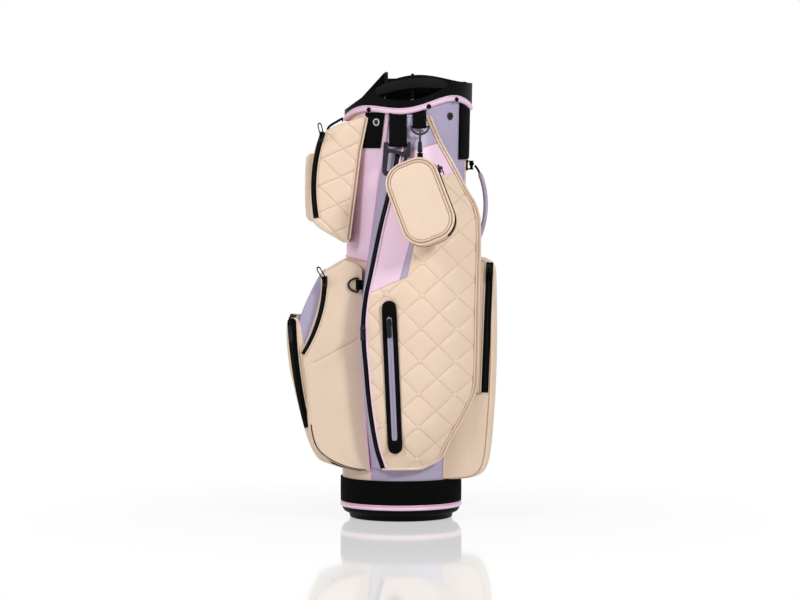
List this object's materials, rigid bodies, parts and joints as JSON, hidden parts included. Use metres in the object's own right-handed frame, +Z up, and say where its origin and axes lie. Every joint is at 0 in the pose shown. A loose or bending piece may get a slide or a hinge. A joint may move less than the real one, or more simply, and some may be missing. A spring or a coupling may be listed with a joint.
{
  "type": "golf cart bag",
  "caption": "Upright golf cart bag: round padded tube with a moulded club divider collar and base, zipped side, ball and back pockets, hanging pouch and carabiner.",
  "frame": {"origin": "centre of the foot's underside, on the floor", "axes": "+Z up along the tube, -X to the front with the ball pocket, -Y to the right side with the pouch"},
  "size_m": [0.4168, 0.4164, 0.889],
  "materials": {
    "beige_leather": "matt grained artificial leather",
    "pink_leather": "matt artificial leather",
    "lilac_fabric": "matt coated fabric",
    "black_webbing": "matt woven",
    "divider_cloth": "matt",
    "black_plastic": "fine texture",
    "board": "matt",
    "grip_rubber": "matt",
    "black_metal": "satin",
    "dark_metal": "satin",
    "steel": "satin"
  },
  "bodies": {
    "bag": {"base_foot": "black_plastic", "base_piping": "pink_leather", "base_band": "black_webbing", "base_board": "board", "wall_stays": "steel", "front_wall_upper": "pink_leather", "front_wall_lower": "beige_leather", "right_wall": "lilac_fabric", "left_wall": "lilac_fabric", "back_wall": "lilac_fabric", "divider_sheets": "divider_cloth", "divider_rails": "black_plastic", "collar": "black_plastic", "collar_trim": "pink_leather", "collar_studs": "black_plastic", "hand_grips": "grip_rubber", "upper_pocket": "beige_leather", "upper_outer_pocket": "beige_leather", "ball_pocket": "beige_leather", "ball_gusset": "lilac_fabric", "ball_outer_pocket": "beige_leather", "front_zip_tapes": "black_webbing", "right_pocket": "beige_leather", "left_pocket": "beige_leather", "side_zip_tapes": "black_webbing", "welt_frame": "black_webbing", "welt_zip_tape": "lilac_fabric", "back_pocket": "beige_leather", "back_zip_tape": "black_webbing", "snap_tab": "black_webbing", "snaps": "steel", "carabiner_tab": "black_webbing", "ring_tabs": "black_webbing", "glove_patch": "black_webbing", "rear_anchors": "black_plastic", "front_cord": "black_webbing"},
    "upper_slider": {"upper_zip_slider": "black_metal"},
    "upper_pull": {"upper_zip_pull": "black_webbing"},
    "ball_slider": {"ball_zip_slider": "black_metal"},
    "ball_pull": {"ball_zip_pull": "black_webbing"},
    "outer_slider": {"outer_zip_slider": "black_metal"},
    "outer_pull": {"outer_zip_pull": "black_metal"},
    "right_slider": {"right_zip_slider": "black_metal"},
    "right_pull": {"right_zip_pull": "black_metal"},
    "left_slider": {"left_zip_slider": "black_metal"},
    "left_pull": {"left_zip_pull": "black_metal"},
    "welt_slider": {"welt_zip_slider": "black_metal"},
    "welt_pull": {"welt_zip_pull": "black_metal"},
    "back_slider": {"back_zip_slider": "black_metal"},
    "back_pull": {"back_zip_pull": "black_metal"},
    "carabiner": {"carabiner_frame": "dark_metal", "carabiner_pin": "steel"},
    "gate": {"carabiner_gate": "black_metal"},
    "ring": {"d_ring": "black_metal"},
    "clip": {"pouch_clip": "black_metal"},
    "pouch": {"pouch": "beige_leather", "pouch_zip_tape": "black_webbing"},
    "pouch_slider": {"pouch_zip_slider": "black_metal"},
    "ball_ring": {"ball_ring": "black_metal"},
    "handle": {"rear_handle": "lilac_fabric"}
  },
  "joints": [
    {"name": "upper_slider_ride", "type": "hinge", "parent": "bag", "child": "upper_slider", "pos_m": [0.1576, -0.088, 0.66], "axis": [0, -1, 0], "range_deg": [0, 26]},
    {"name": "upper_pull_swing", "type": "hinge", "parent": "upper_slider", "child": "upper_pull", "pos_m": [-0.15727, -0.0966, 0.75877], "axis": [-0.9542, 0, 0.2993], "range_deg": [-140, 20]},
    {"name": "ball_slider_ride", "type": "hinge", "parent": "bag", "child": "ball_slider", "pos_m": [-0.4323, -0.105, 0.4832], "axis": [0, 1, 0], "range_deg": [0, 26]},
    {"name": "ball_pull_swing", "type": "hinge", "parent": "ball_slider", "child": "ball_pull", "pos_m": [-0.15044, -0.1136, 0.47415], "axis": [-0.9995, 0, 0.0321], "range_deg": [-140, 20]},
    {"name": "outer_slider_ride", "type": "hinge", "parent": "bag", "child": "outer_slider", "pos_m": [0.8212, -0.088, 0.4434], "axis": [0, -1, 0], "range_deg": [0, 10.2]},
    {"name": "outer_pull_swing", "type": "hinge", "parent": "outer_slider", "child": "outer_pull", "pos_m": [-0.21847, -0.0966, 0.37999], "axis": [-0.9981, 0, -0.0609], "range_deg": [0, 165]},
    {"name": "back_slider_slide", "type": "slide", "parent": "bag", "child": "back_slider", "axis": [-0.0384, 0, -0.9993], "range_m": [0, 0.236]},
    {"name": "back_pull_swing", "type": "hinge", "parent": "back_slider", "child": "back_pull", "pos_m": [0.17354, -0.0926, 0.50101], "axis": [-0.9993, 0, 0.0384], "range_deg": [0, 165]},
    {"name": "welt_slider_slide", "type": "slide", "parent": "bag", "child": "welt_slider", "axis": [0.0439, 0.0438, -0.9981], "range_m": [0, 0.205]},
    {"name": "welt_pull_swing", "type": "hinge", "parent": "welt_slider", "child": "welt_pull", "pos_m": [-0.02369, -0.17615, 0.39788], "axis": [-0.9872, 0.1551, -0.0366], "range_deg": [0, 165]},
    {"name": "right_slider_ride", "type": "hinge", "parent": "bag", "child": "right_slider", "pos_m": [0.92716, -0.14991, 0.3852], "axis": [0, 1, 0], "range_deg": [-10, 2]},
    {"name": "right_pull_swing", "type": "hinge", "parent": "right_slider", "child": "right_pull", "pos_m": [-0.0761, -0.15787, 0.3852], "axis": [-0.9254, 0.379, 0], "range_deg": [0, 165]},
    {"name": "left_slider_ride", "type": "hinge", "parent": "bag", "child": "left_slider", "pos_m": [0.92716, 0.14991, 0.3852], "axis": [0, 1, 0], "range_deg": [-10, 2]},
    {"name": "left_pull_swing", "type": "hinge", "parent": "left_slider", "child": "left_pull", "pos_m": [-0.0761, 0.15787, 0.3852], "axis": [0.9254, 0.379, 0], "range_deg": [0, 165]},
    {"name": "carabiner_swing", "type": "hinge", "parent": "bag", "child": "carabiner", "pos_m": [-0.006, -0.141, 0.745], "axis": [-1, 0, 0], "range_deg": [-1, 8]},
    {"name": "gate_open", "type": "hinge", "parent": "carabiner", "child": "gate", "pos_m": [0.012, -0.1443, 0.72629], "axis": [0, 0.9848, -0.1736], "range_deg": [0, 32], "stiffness_Nm_per_rad": 0.03, "springref_deg": -17.19},
    {"name": "ring_swing", "type": "hinge", "parent": "bag", "child": "ring", "pos_m": [0.037, -0.138, 0.78], "axis": [-1, 0, 0], "range_deg": [0, 50]},
    {"name": "clip_swing", "type": "hinge", "parent": "ring", "child": "clip", "pos_m": [0.037, -0.14572, 0.76485], "axis": [-1, 0, 0], "range_deg": [0, 40]},
    {"name": "pouch_swing", "type": "hinge", "parent": "clip", "child": "pouch", "pos_m": [0.037, -0.16633, 0.7244], "axis": [0, 0.891, -0.454], "range_deg": [-12, 7]},
    {"name": "pouch_slider_slide", "type": "slide", "parent": "pouch", "child": "pouch_slider", "axis": [0.3424, -0.2684, -0.9004], "range_m": [0, 0.09]},
    {"name": "ball_ring_swing", "type": "hinge", "parent": "bag", "child": "ball_ring", "pos_m": [-0.085, -0.1094, 0.469], "axis": [0, 0, 1], "range_deg": [0, 100]},
    {"name": "handle_swing", "type": "hinge", "parent": "bag", "child": "handle", "pos_m": [0.13917, 0, 0.61993], "axis": [0.0192, 0, 0.9998], "range_deg": [-15, 15]}
  ]
}
